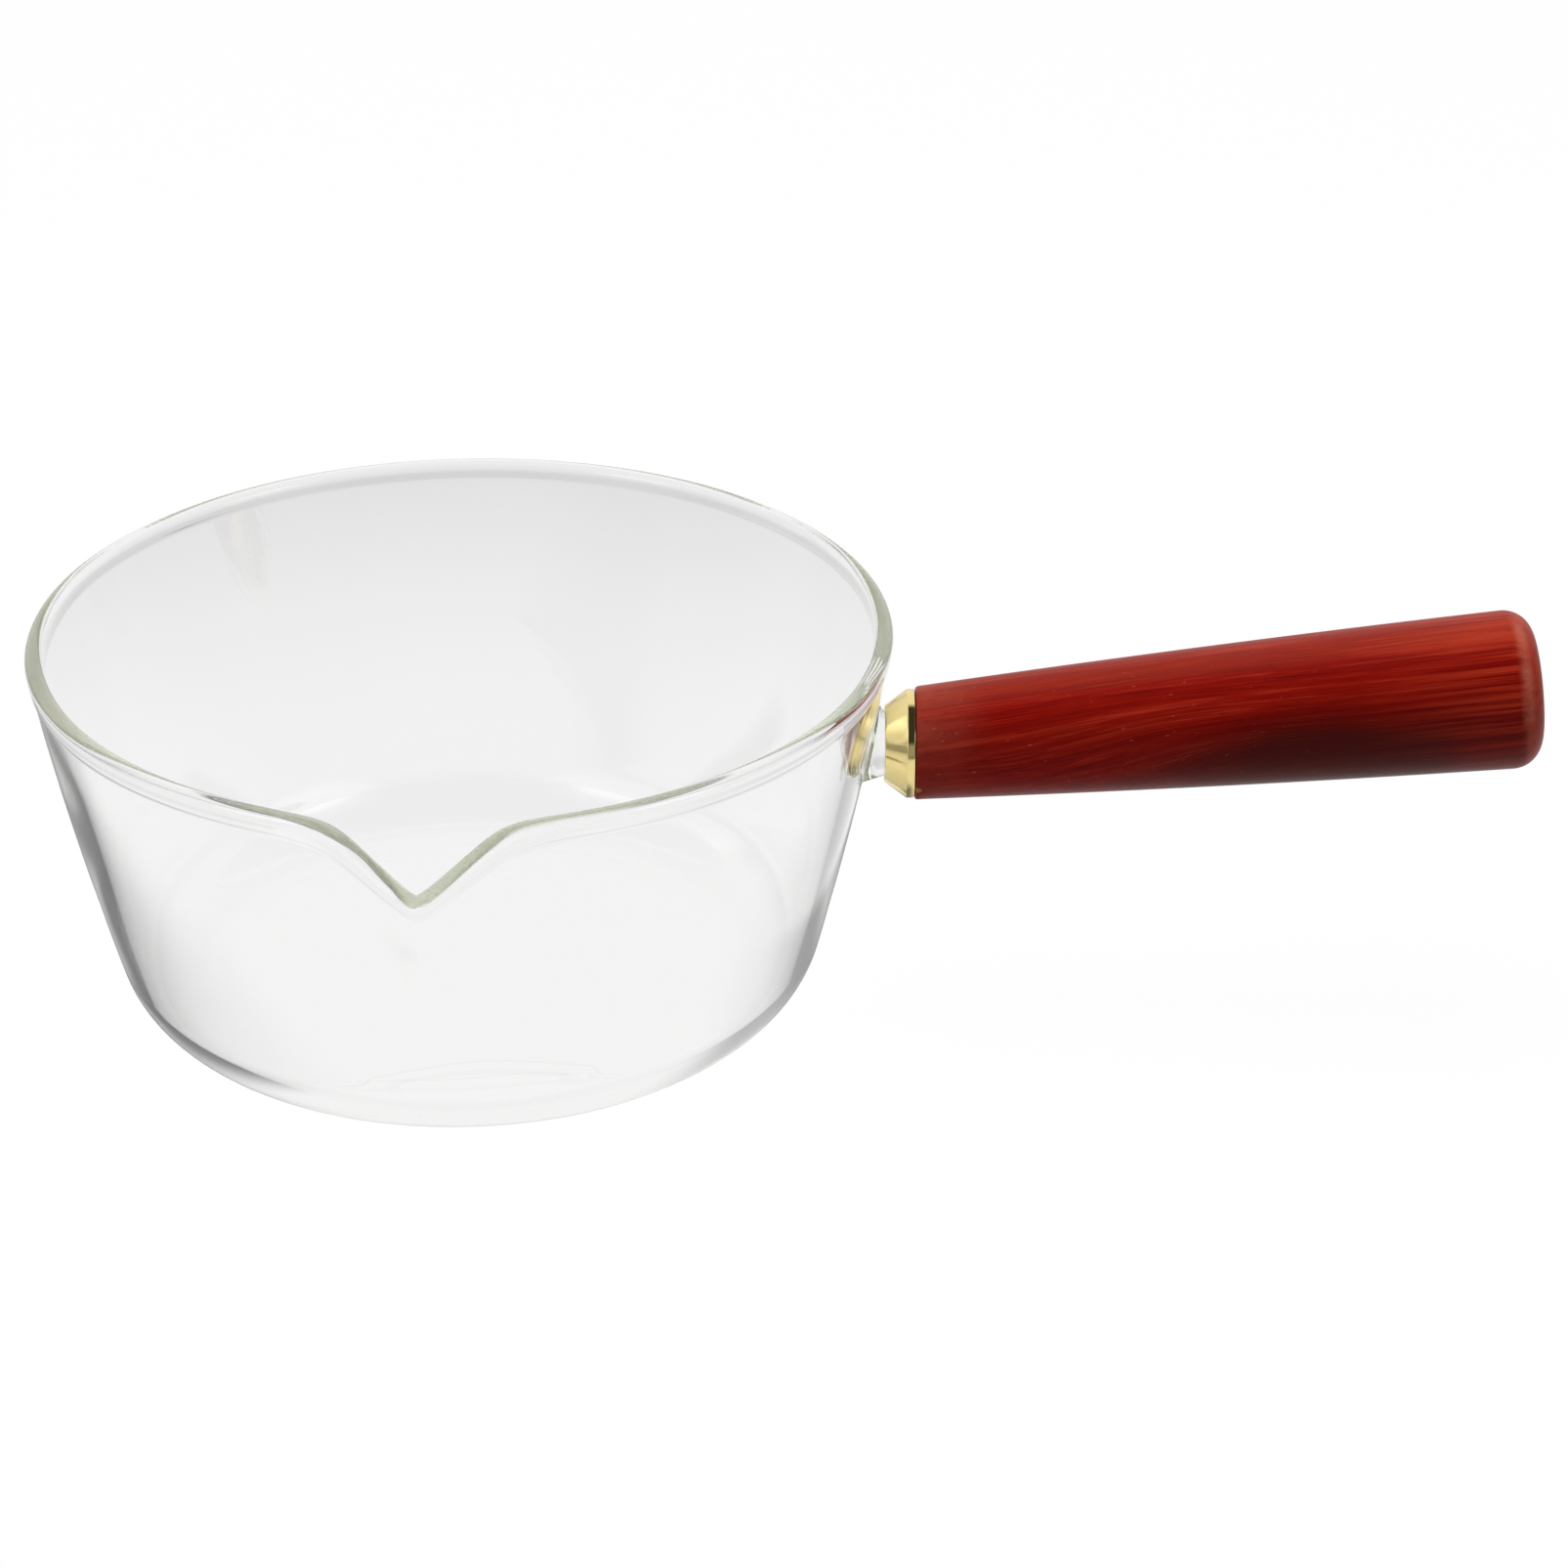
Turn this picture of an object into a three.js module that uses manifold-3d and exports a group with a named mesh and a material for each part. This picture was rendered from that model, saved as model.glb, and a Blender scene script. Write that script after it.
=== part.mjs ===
// Glass milk pan: a blown glass bowl with a beaded rim and a pinched spout, and a turned wooden
// handle that screws onto a hollow glass stem fused to the bowl's wall.
// Millimetres and degrees. +X runs out along the handle, -Y is the way the spout pours, +Z is up.
// The origin is the centre of the flat base.

import * as THREE from "three";
import { mergeVertices } from "three/addons/utils/BufferGeometryUtils.js";
import Module from "manifold-3d";

const wasm = await Module();
wasm.setup();
const { degToRad, smoothstep } = THREE.MathUtils;

// Driving dimensions: the bowl
const RIM_RADIUS = 75; // outside of the rim's bead
const HEIGHT = 70;
const WALL = 2.7; // glass thickness of wall and base
const BEAD_SWELL = 0.2; // how far the fire-polished bead stands proud of the wall on each side
const LEAN_AT_RIM = 9.4; // wall's lean from upright just under the bead
const LEAN_AT_FOOT = 14.6; // wall's lean where the base corner starts
const CORNER_RADIUS = 15.5; // outside of the base corner

// Driving dimensions: the spout pinched into the rim
const SPOUT_TURN = -1.75; // degrees round the rim from square to the handle, away from it if negative
const SPOUT_HALF_WIDTH = 13.1;
const SPOUT_DROP = 10.3; // how far its lip dips below the rim
const SPOUT_REACH = 5; // how far its lip stands out from the rim
const SPOUT_FADE = 44; // depth below the rim at which its crease is gone
const SPOUT_TIP_ROUND = 1.2; // rounding of the V along the rim
const SPOUT_SHOULDER_ROUND = 0.28; // rounding where the V leaves the rim, as a share of its depth

// Driving dimensions: the glass stem and what sits in it
const STEM_BELOW_RIM = 23;
const STEM_DIAMETER = 11.2;
const STEM_IN_GRIP = 14; // length of stem inside the wooden grip
const STEM_ROOT_FLARE = 1.1; // how much wider the stem is where it is fused to the wall
const SOCKET_DEPTH = 15; // blind hole in the stem's end
const SLEEVE_THICKNESS = 0.5; // cured resin round the threaded insert
const INSERT_WALL = 0.9; // brass round the thread in the stem

// Driving dimensions: the ferrule, grip and screw
const STANDOFF = 2.75; // wall to ferrule, along the handle's axis
const FERRULE_LENGTH = 5.2;
const FERRULE_BAND = 1.3; // length of the straight band behind the cone
const FERRULE_NOSE_WALL = 0.85;
const FERRULE_BAND_WALL = 1.95;
const FERRULE_EDGE = 0.2; // broken edges of the ferrule
const SPIGOT_LENGTH = 1.8; // wooden spigot that centres the ferrule
const SPIGOT_WALL = 1.6;
const GRIP_LENGTH = 109;
const GRIP_END_DIAMETER = 27.8;
const GRIP_PROUD = 0.3; // grip's front over the ferrule's band, on the radius
const GRIP_BOW = 0.4; // how far the grip's side swells from a straight taper
const GRIP_RISE = 5.8; // upward slant of the grip
const GRIP_END_ROUND = 5.2;
const GRIP_FRONT_EASE = 0.5; // softened front edge
const STUD_DIAMETER = 4;
const THREAD_PITCH = 0.7;
const THREAD_TURNS = 14.5; // turns that unscrew the handle
const GRIP_INSERT_LENGTH = 14;
const GRIP_INSERT_WALL = 1.3;
const PILOT_RUN = 6; // drilled past the end of the stud
const WASHER_THICKNESS = 1.2;

// Clearances
const SLIP = 0.3; // glass in wood or metal, on the radius
const FIT = 0.15; // one turned piece in another, on the radius
const SEAM = 0.15; // between faces that meet
const OVERCUT = 1; // how far a cutting tool runs past the face it opens

// Facets round a turned piece
const BOWL_FACETS = 84;
const BOWL_CROWDING = 0.75; // how strongly the bowl's facets gather at the spout
const GRIP_FACETS = 48;
const FINE_FACETS = 36;

// Solids: three.js geometry to manifold-3d and back

function solidOf(geometry) {
  const bare = geometry.clone();
  bare.deleteAttribute("normal");
  bare.deleteAttribute("uv");
  const merged = mergeVertices(bare, 1e-4);
  const corners = merged.index.array;
  const triangles = [];
  for (let i = 0; i < corners.length; i += 3) {
    const [a, b, c] = corners.subarray(i, i + 3);
    if (a !== b && b !== c && c !== a) triangles.push(a, b, c);
  }
  return new wasm.Manifold(
    new wasm.Mesh({
      numProp: 3,
      vertProperties: merged.attributes.position.array,
      triVerts: new Uint32Array(triangles),
    }),
  );
}

function geometryOf(solid) {
  const mesh = solid.getMesh();
  const geometry = new THREE.BufferGeometry();
  geometry.setAttribute("position", new THREE.BufferAttribute(mesh.vertProperties, 3));
  geometry.setIndex(new THREE.BufferAttribute(mesh.triVerts, 1));
  geometry.computeVertexNormals();
  return geometry;
}

// A piece turned about +Z from [radius, height] points that run counter-clockwise round its section.
function turned(points, facets) {
  const section = points.map(([radius, height]) => new THREE.Vector2(radius, height));
  return new THREE.LatheGeometry(section, facets).rotateX(Math.PI / 2);
}

function turnedTube(inner, outer, low, high, facets = FINE_FACETS) {
  const section = [[inner, low], [outer, low], [outer, high], [inner, high], [inner, low]];
  return turned(section, facets);
}

function turnedRod(radius, low, high, facets = FINE_FACETS) {
  return turned([[0, low], [radius, low], [radius, high], [0, high]], facets);
}

function arc(centre, radius, fromAngle, toAngle, steps) {
  const points = [];
  for (let i = 0; i <= steps; i++) {
    const angle = fromAngle + ((toAngle - fromAngle) * i) / steps;
    points.push([centre[0] + radius * Math.cos(angle), centre[1] + radius * Math.sin(angle)]);
  }
  return points;
}

// The bowl's section: a wide wall arc that turns into the base corner, both of even thickness

const leanAtRim = degToRad(LEAN_AT_RIM);
const leanAtFoot = degToRad(LEAN_AT_FOOT);
const beadRadius = WALL / 2 + BEAD_SWELL;
const beadCentre = [RIM_RADIUS - beadRadius, HEIGHT - beadRadius];
const wallTop = [
  beadCentre[0] + (WALL / 2) * Math.cos(leanAtRim),
  beadCentre[1] - (WALL / 2) * Math.sin(leanAtRim),
];
const cornerRise = CORNER_RADIUS * (1 - Math.sin(leanAtFoot));
const wallCurve = (wallTop[1] - cornerRise) / (Math.sin(leanAtFoot) - Math.sin(leanAtRim));
const wallCentre = [
  wallTop[0] - wallCurve * Math.cos(leanAtRim),
  wallTop[1] + wallCurve * Math.sin(leanAtRim),
];
const cornerCentre = [
  wallCentre[0] + (wallCurve - CORNER_RADIUS) * Math.cos(leanAtFoot),
  CORNER_RADIUS,
];

// Outside radius of the wall at a height on its wide arc.
function wallRadiusAt(height) {
  return wallCentre[0] + Math.sqrt(wallCurve ** 2 - (wallCentre[1] - height) ** 2);
}

// One face of the wall and base, inset into the glass, from the base's middle up to the bead.
function bowlFace(inset, beadOverlap) {
  const cornerSteps = 7;
  const wallSteps = 9;
  const corner = arc(cornerCentre, CORNER_RADIUS - inset, -Math.PI / 2, -leanAtFoot, cornerSteps);
  const top = -leanAtRim - beadOverlap / wallCurve;
  const wall = arc(wallCentre, wallCurve - inset, -leanAtFoot, top, wallSteps);
  return [[0, inset], ...corner, ...wall.slice(1)];
}

// The bead leaves the wall where its circle crosses the wall's two faces.
const beadOverlap = Math.sqrt(beadRadius ** 2 - (WALL / 2) ** 2);
const beadTurn = Math.asin(WALL / 2 / beadRadius);

function bowlSection() {
  const beadSteps = 9;
  const down = -Math.PI / 2 - leanAtRim;
  const bead = arc(beadCentre, beadRadius, down + beadTurn, down + 2 * Math.PI - beadTurn, beadSteps);
  const outside = bowlFace(0, beadOverlap);
  const inside = bowlFace(WALL, beadOverlap);
  return [...outside, ...bead.slice(1, -1), ...inside.reverse()];
}

// How far the spout has opened at a distance along the rim: 1 at its tip, near 0 past its shoulders.
function spoutShare(alongRim) {
  const slope = 1 - (Math.hypot(alongRim, SPOUT_TIP_ROUND) - SPOUT_TIP_ROUND) / SPOUT_HALF_WIDTH;
  const soft = (value) => (value + Math.hypot(value, SPOUT_SHOULDER_ROUND)) / 2;
  return soft(slope) / soft(1);
}

// Gathers the facets of a turned bowl towards the spout, then draws the rim there out and down.
function pinchSpout(geometry) {
  const position = geometry.attributes.position;
  for (let i = 0; i < position.count; i++) {
    const [x, y, z] = [position.getX(i), position.getY(i), position.getZ(i)];
    const radius = Math.hypot(x, y);
    const evenAngle = Math.atan2(x, -y);
    const angle = evenAngle - BOWL_CROWDING * Math.sin(evenAngle);
    const fade = 1 - smoothstep(HEIGHT - z, 2 * beadRadius, SPOUT_FADE);
    const share = spoutShare(RIM_RADIUS * angle) * fade;
    const drawn = radius + SPOUT_REACH * share;
    const turn = angle + degToRad(SPOUT_TURN);
    position.setXYZ(i, drawn * Math.sin(turn), -drawn * Math.cos(turn), z - SPOUT_DROP * share);
  }
  return geometry;
}

// Places along the handle's axis, measured out from the bowl's own axis

const stemHeight = HEIGHT - STEM_BELOW_RIM;
const stemRadius = STEM_DIAMETER / 2;
const wallAt = wallRadiusAt(stemHeight);
const ferruleNose = wallAt + STANDOFF;
const ferruleBack = ferruleNose + FERRULE_LENGTH;
const gripFront = ferruleBack + SEAM;
const stemEnd = gripFront + STEM_IN_GRIP;
const socketFloor = stemEnd - SOCKET_DEPTH;
const washerFront = stemEnd + SEAM;
const washerBack = washerFront + WASHER_THICKNESS;
const counterboreFloor = washerBack + SEAM;
const gripInsertFront = counterboreFloor + SEAM;
const gripInsertBack = gripInsertFront + GRIP_INSERT_LENGTH;
const studFront = stemEnd - THREAD_PITCH * THREAD_TURNS;

// Radii of what nests round the axis, from the screw outwards

const studRadius = STUD_DIAMETER / 2;
const threadBore = studRadius + FIT;
const stemInsertRadius = threadBore + INSERT_WALL;
const sleeveBore = stemInsertRadius + FIT;
const sleeveRadius = sleeveBore + SLEEVE_THICKNESS;
const socketRadius = sleeveRadius + FIT;
const gripInsertRadius = threadBore + GRIP_INSERT_WALL;
const gripInsertBore = gripInsertRadius + FIT;
const ferruleThroat = stemRadius + SLIP;
const counterboreRadius = stemRadius + SLIP;
const spigotRadius = counterboreRadius + SPIGOT_WALL;
const ferruleRecess = spigotRadius + FIT;
const ferruleNoseRadius = ferruleThroat + FERRULE_NOSE_WALL;
const ferruleBandRadius = ferruleRecess + FERRULE_BAND_WALL;
const gripFrontRadius = ferruleBandRadius + GRIP_PROUD;

// Everything on the handle's axis is turned about +Z in this group, which lays it along +X.
const handleAxis = new THREE.Group();
handleAxis.position.set(0, 0, stemHeight);
handleAxis.rotation.y = Math.PI / 2;
handleAxis.updateMatrix();

// The glass: bowl and stem in one piece, with a blind socket in the stem's end

// The stem widens into the wall. Its root starts in the bowl's hollow and is trimmed to the wall.
function stemSection() {
  const root = wallAt - WALL;
  const rootRadius = stemRadius + STEM_ROOT_FLARE;
  const flareEnd = wallAt + 2 * STEM_ROOT_FLARE;
  return [[0, root], [rootRadius, root], [stemRadius, flareEnd], [stemRadius, stemEnd], [0, stemEnd]];
}

function makeGlassPan() {
  const bowl = solidOf(pinchSpout(turned(bowlSection(), BOWL_FACETS)));
  const middleOfWall = bowlFace(WALL / 2, 0);
  const lidCentre = [0, middleOfWall.at(-1)[1]];
  const cavity = solidOf(pinchSpout(turned([...middleOfWall, lidCentre], BOWL_FACETS)));
  const stem = solidOf(turned(stemSection(), FINE_FACETS).applyMatrix4(handleAxis.matrix));
  const socket = turnedRod(socketRadius, socketFloor, stemEnd + OVERCUT).applyMatrix4(handleAxis.matrix);
  return geometryOf(bowl.add(stem.subtract(cavity)).subtract(solidOf(socket)));
}

// The stem's threaded insert and the resin that holds it in the glass

function makeInsertSleeve() {
  return turnedTube(sleeveBore, sleeveRadius, socketFloor + FIT, stemEnd - FIT);
}

function makeStemInsert() {
  return turnedTube(threadBore, stemInsertRadius, socketFloor + FIT, stemEnd - FIT);
}

// The metal ferrule: a cone and a straight band, bored for the stem and recessed for the spigot

function makeFerrule() {
  const recessFloor = ferruleBack - SPIGOT_LENGTH - SEAM;
  const bandStart = ferruleBack - FERRULE_BAND;
  return turned(
    [
      [ferruleThroat, ferruleNose],
      [ferruleNoseRadius - FERRULE_EDGE, ferruleNose],
      [ferruleNoseRadius, ferruleNose + FERRULE_EDGE],
      [ferruleBandRadius, bandStart],
      [ferruleBandRadius, ferruleBack - FERRULE_EDGE],
      [ferruleBandRadius - FERRULE_EDGE, ferruleBack],
      [ferruleRecess, ferruleBack],
      [ferruleRecess, recessFloor],
      [ferruleThroat, recessFloor],
      [ferruleThroat, ferruleNose],
    ],
    GRIP_FACETS,
  );
}

// The wooden grip: a swelling taper on a rising axis, faced off square to the ferrule and drilled

function gripSection() {
  const sideSteps = 8;
  const endSteps = 6;
  const endRadius = GRIP_END_DIAMETER / 2;
  const overrun = gripFrontRadius * Math.tan(degToRad(GRIP_RISE)) + OVERCUT;
  const sideEnd = GRIP_LENGTH - GRIP_END_ROUND;
  const side = [];
  for (let i = 0; i <= sideSteps; i++) {
    const share = i / sideSteps;
    const straight = gripFrontRadius + (endRadius - gripFrontRadius) * share;
    side.push([straight + GRIP_BOW * 4 * share * (1 - share), sideEnd * share]);
  }
  const endCentre = [endRadius - GRIP_END_ROUND, sideEnd];
  const end = arc(endCentre, GRIP_END_ROUND, 0, Math.PI / 2, endSteps);
  return [[0, -overrun], [gripFrontRadius, -overrun], ...side, ...end.slice(1), [0, GRIP_LENGTH]];
}

function makeGrip() {
  const taper = turned(gripSection(), GRIP_FACETS);
  taper.rotateY(-degToRad(GRIP_RISE)).translate(0, 0, gripFront);
  const reach = GRIP_LENGTH;
  const beyondFront = new THREE.BoxGeometry(reach, reach, reach);
  beyondFront.translate(0, 0, gripFront - reach / 2);
  const easedRadius = gripFrontRadius - GRIP_FRONT_EASE;
  const easeDepth = 3 * GRIP_FRONT_EASE;
  const easeRing = turned(
    [
      [easedRadius, gripFront - OVERCUT],
      [easedRadius + easeDepth, gripFront - OVERCUT],
      [easedRadius + easeDepth, gripFront + easeDepth],
      [easedRadius, gripFront],
      [easedRadius, gripFront - OVERCUT],
    ],
    GRIP_FACETS,
  );
  const spigot = turnedRod(spigotRadius, gripFront - SPIGOT_LENGTH, gripFront + OVERCUT, GRIP_FACETS);
  const bores = [
    turnedRod(counterboreRadius, gripFront - SPIGOT_LENGTH - OVERCUT, counterboreFloor),
    turnedRod(gripInsertBore, counterboreFloor - OVERCUT, gripInsertBack + SEAM),
    turnedRod(threadBore, gripInsertBack - OVERCUT, gripInsertBack + PILOT_RUN),
  ];
  const faced = solidOf(taper).subtract(solidOf(beyondFront)).subtract(solidOf(easeRing));
  const blank = faced.add(solidOf(spigot));
  return geometryOf(bores.reduce((wood, bore) => wood.subtract(solidOf(bore)), blank));
}

// The screw joint: a stud fixed in the grip's insert, and a soft washer that the stem's end bears on

function makeStud() {
  const lead = studRadius / 4; // chamfer that starts the thread
  return turned(
    [
      [0, studFront],
      [studRadius - lead, studFront],
      [studRadius, studFront + lead],
      [studRadius, gripInsertBack - lead],
      [studRadius - lead, gripInsertBack],
      [0, gripInsertBack],
    ],
    FINE_FACETS,
  );
}

function makeGripInsert() {
  return turnedTube(threadBore, gripInsertRadius, gripInsertFront, gripInsertBack);
}

function makeEndWasher() {
  return turnedTube(threadBore + FIT, stemRadius, washerFront, washerBack);
}

// Finishes

function finish(colour, roughness, metalness, extra = {}) {
  return new THREE.MeshStandardMaterial({ color: colour, roughness, metalness, ...extra });
}

const clearGlass = finish(0xe6efe2, 0.03, 0, { transparent: true, opacity: 0.35 });
const goldMetal = finish(0xd9b95a, 0.12, 1);
const redWood = finish(0x8e2015, 0.38, 0);
const plainBrass = finish(0xb99a4a, 0.35, 1);
const zincSteel = finish(0xb9bdc0, 0.3, 1);
const paleResin = finish(0xd8d4c8, 0.6, 0);
const whiteSilicone = finish(0xe9e7e1, 0.7, 0);

// Assembly

function piece(name, geometry, material) {
  const mesh = new THREE.Mesh(geometry, material);
  mesh.name = name;
  return mesh;
}

const milkPan = new THREE.Group();
milkPan.add(piece("glass_pan", makeGlassPan(), clearGlass), handleAxis);
handleAxis.add(
  piece("insert_sleeve", makeInsertSleeve(), paleResin),
  piece("stem_insert", makeStemInsert(), plainBrass),
  piece("ferrule", makeFerrule(), goldMetal),
  piece("handle_grip", makeGrip(), redWood),
  piece("handle_stud", makeStud(), zincSteel),
  piece("grip_insert", makeGripInsert(), plainBrass),
  piece("end_washer", makeEndWasher(), whiteSilicone),
);

export default milkPan;
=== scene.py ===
# %% [markdown]
# # A glass milk pan
# A clear blown-glass pan with a pinched spout, a gold ferrule and a red wooden handle that screws
# onto a glass stem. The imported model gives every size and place. This lesson remakes the pieces
# that show as fine meshes, gives each one the finish of the real material, and lights the whole
# for a photograph on white. Everything is in metres, +X out along the handle, -Y where the spout
# pours, +Z up.

# %% Load the frame
import math

import bpy
import numpy as np
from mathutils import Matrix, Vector


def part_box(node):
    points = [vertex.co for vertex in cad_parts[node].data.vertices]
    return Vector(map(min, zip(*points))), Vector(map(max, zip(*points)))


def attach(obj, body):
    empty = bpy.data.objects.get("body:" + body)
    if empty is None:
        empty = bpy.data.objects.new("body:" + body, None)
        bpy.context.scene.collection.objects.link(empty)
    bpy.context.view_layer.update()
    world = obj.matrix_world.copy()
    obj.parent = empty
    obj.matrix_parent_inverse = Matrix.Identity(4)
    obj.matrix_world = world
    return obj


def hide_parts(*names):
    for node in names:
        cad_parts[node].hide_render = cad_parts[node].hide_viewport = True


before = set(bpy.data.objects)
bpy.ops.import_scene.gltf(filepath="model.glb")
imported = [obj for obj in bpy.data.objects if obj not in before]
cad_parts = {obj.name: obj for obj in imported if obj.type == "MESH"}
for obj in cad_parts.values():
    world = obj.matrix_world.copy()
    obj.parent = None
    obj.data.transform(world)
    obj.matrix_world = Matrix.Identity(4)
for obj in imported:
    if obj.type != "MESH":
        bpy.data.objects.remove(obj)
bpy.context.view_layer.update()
MM = 0.001

# %% [markdown]
# ## Sizes
# Outside sizes are read from the frame's boxes, so the fine meshes land exactly on the solids.
# What a box can't tell, such as the thickness of the glass or the lean of the wall, is written
# once, in the step that first needs it.

# %% Sizes of the pan and of what lies along the handle
glass_low, glass_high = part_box("glass_pan")
ferrule_low, ferrule_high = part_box("ferrule")
grip_low, grip_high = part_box("handle_grip")
washer_low, washer_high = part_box("end_washer")
insert_low, insert_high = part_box("grip_insert")
stud_low, stud_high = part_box("handle_stud")
sleeve_low, sleeve_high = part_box("insert_sleeve")
bush_low, bush_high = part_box("stem_insert")


def half_height(low, high):
    """Radius of a piece that lies round the handle's axis, from its box."""
    return (high.z - low.z) / 2


RIM_RADIUS = -glass_low.x
HEIGHT = glass_high.z
STEM_HEIGHT = (ferrule_low.z + ferrule_high.z) / 2
STEM_RADIUS = half_height(washer_low, washer_high)
STEM_END = glass_high.x
FIT = 0.15 * MM
for what, size in (("rim radius", RIM_RADIUS), ("height", HEIGHT), ("stem at", STEM_HEIGHT)):
    print(what, round(size / MM, 2), "mm")

# %% [markdown]
# ## From rows of points to a mesh
# Every piece here is a skin of rings: a ring is a row of points once round the piece, and each
# ring is joined to the next by four-sided faces. A pole closes the skin where it meets the axis.
# The rings could be made by a Screw modifier, but the pan's rings bend at the spout and the
# grip's rings are cut at a slant, so plain arrays of points are easier to steer.

# %% Faces between rings, and at a pole


def ring_faces(first, second):
    """Four-sided faces between two rings of vertex numbers, both in the same order round."""
    ahead_first = np.roll(first, -1)
    ahead_second = np.roll(second, -1)
    return np.stack([first, ahead_first, ahead_second, second], axis=1).tolist()


def pole_faces(ring, pole, pole_is_next):
    """Three-sided faces between a ring and the pole after it or before it."""
    ahead = np.roll(ring, -1)
    if pole_is_next:
        return [[int(a), int(b), pole] for a, b in zip(ring, ahead)]
    return [[int(b), int(a), pole] for a, b in zip(ring, ahead)]


def arc_points(centre, radius, start, stop, steps):
    """Points of a section along an arc, as pairs of (first, second) coordinates."""
    turns = np.linspace(start, stop, steps + 1)
    return [(centre[0] + radius * math.cos(t), centre[1] + radius * math.sin(t)) for t in turns]


# %% The finished object


def skin_object(name, points, faces):
    """A smooth-shaded object from points and faces, without any point that no face uses."""
    used = np.unique(np.concatenate([np.asarray(face) for face in faces]))
    renumber = np.full(len(points), -1)
    renumber[used] = np.arange(len(used))
    mesh = bpy.data.meshes.new(name)
    kept_faces = [[int(renumber[corner]) for corner in face] for face in faces]
    mesh.from_pydata(np.asarray(points)[used].tolist(), [], kept_faces)
    mesh.polygons.foreach_set("use_smooth", [True] * len(mesh.polygons))
    mesh.validate()
    made = bpy.data.objects.new(name, mesh)
    bpy.context.scene.collection.objects.link(made)
    print(name, len(mesh.vertices), "points", len(mesh.polygons), "faces")
    return made


def skin_of_rings(name, rings, ends_meet=False):
    """An object from a stack of rings, whose first and last ring meet or close in poles."""
    count = len(rings[0])
    points = np.concatenate(rings)
    numbers = [np.arange(count) + count * i for i in range(len(rings))]
    faces = []
    for first, second in zip(numbers[:-1], numbers[1:]):
        faces += ring_faces(first, second)
    if ends_meet:
        faces += ring_faces(numbers[-1], numbers[0])
        return skin_object(name, points, faces)
    poles = np.stack([rings[0].mean(axis=0), rings[-1].mean(axis=0)])
    faces += pole_faces(numbers[0], len(points), False)
    faces += pole_faces(numbers[-1], len(points) + 1, True)
    return skin_object(name, np.concatenate([points, poles]), faces)


# %% [markdown]
# ## The middle of the glass
# A real pan is blown into a mould, so its wall is one long gentle arc that runs into a rounder arc
# at the base. A blown wall has two faces that run side by side, so the pan starts as one sheet in
# the middle of the glass. The sheet is bent to the pan's section, the spout is drawn out and down
# from its rim as a glass worker does with a hot tool, and only then do the two faces grow from it
# along its normals. That keeps the wall and the bead even in the tight bend of the spout, which a
# moved copy of each face would not.

# %% The arcs of the wall
WALL = 2.7 * MM
BEAD_SWELL = 0.30 * MM
LEAN_AT_RIM = math.radians(9.4)
LEAN_AT_FOOT = math.radians(14.6)
CORNER_RADIUS = 15.5 * MM
bead_radius = WALL / 2 + BEAD_SWELL
bead_centre = (RIM_RADIUS - bead_radius, HEIGHT - bead_radius)
corner_rise = CORNER_RADIUS * (1 - math.sin(LEAN_AT_FOOT))
wall_top = (
    bead_centre[0] + WALL / 2 * math.cos(LEAN_AT_RIM),
    bead_centre[1] - WALL / 2 * math.sin(LEAN_AT_RIM),
)
wall_curve = (wall_top[1] - corner_rise) / (math.sin(LEAN_AT_FOOT) - math.sin(LEAN_AT_RIM))
wall_centre = (
    wall_top[0] - wall_curve * math.cos(LEAN_AT_RIM),
    wall_top[1] + wall_curve * math.sin(LEAN_AT_RIM),
)
foot_radius = wall_centre[0] + (wall_curve - CORNER_RADIUS) * math.cos(LEAN_AT_FOOT)
print("wall curve", round(wall_curve / MM), "mm, foot radius", round(foot_radius / MM, 1), "mm")

# %% The sheet's section, from the rim down to the middle of the base
WALL_STEPS = 76
CORNER_STEPS = 22
BASE_STEPS = 8
CROWDING_AT_RIM = 1.6
SMALLEST_RING = 0.6 * MM
middle_curve = wall_curve - WALL / 2
middle_corner = CORNER_RADIUS - WALL / 2


def section_of_sheet():
    """Radius, height and way below the rim for each row of the sheet."""
    share = np.linspace(0, 1, WALL_STEPS + 1)
    lean = LEAN_AT_RIM + (LEAN_AT_FOOT - LEAN_AT_RIM) * share**CROWDING_AT_RIM
    wall_r = wall_centre[0] + middle_curve * np.cos(lean)
    wall_z = wall_centre[1] - middle_curve * np.sin(lean)
    turn = np.linspace(LEAN_AT_FOOT, math.pi / 2, CORNER_STEPS + 1)[1:]
    corner_r = foot_radius + middle_corner * np.cos(turn)
    corner_z = CORNER_RADIUS - middle_corner * np.sin(turn)
    base_r = np.linspace(foot_radius, SMALLEST_RING, BASE_STEPS + 1)[1:]
    base_z = np.full(BASE_STEPS, WALL / 2)
    radius = np.concatenate([wall_r, corner_r, base_r])
    height = np.concatenate([wall_z, corner_z, base_z])
    steps = np.hypot(np.diff(radius), np.diff(height))
    return radius, height, np.concatenate([[0], np.cumsum(steps)])


# %% The spout's pull on the sheet
SPOUT_TURN = math.radians(-1.75)
SPOUT_HALF_WIDTH = 13.1 * MM
SPOUT_DROP = 10.3 * MM
SPOUT_REACH = 5 * MM
SPOUT_FADE = 44 * MM
SPOUT_TIP_ROUND = 1.2 * MM
SPOUT_SHOULDER_ROUND = 0.28
LIP_CURL = 1.3 * MM
LIP_CURL_RUN = 5.2 * MM
COLUMNS = 320
CROWDING_AT_SPOUT = 0.62


def smooth_step(value, low, high):
    """0 below low, 1 above high, and smooth between."""
    share = np.clip((value - low) / (high - low), 0, 1)
    return share * share * (3 - 2 * share)


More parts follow.
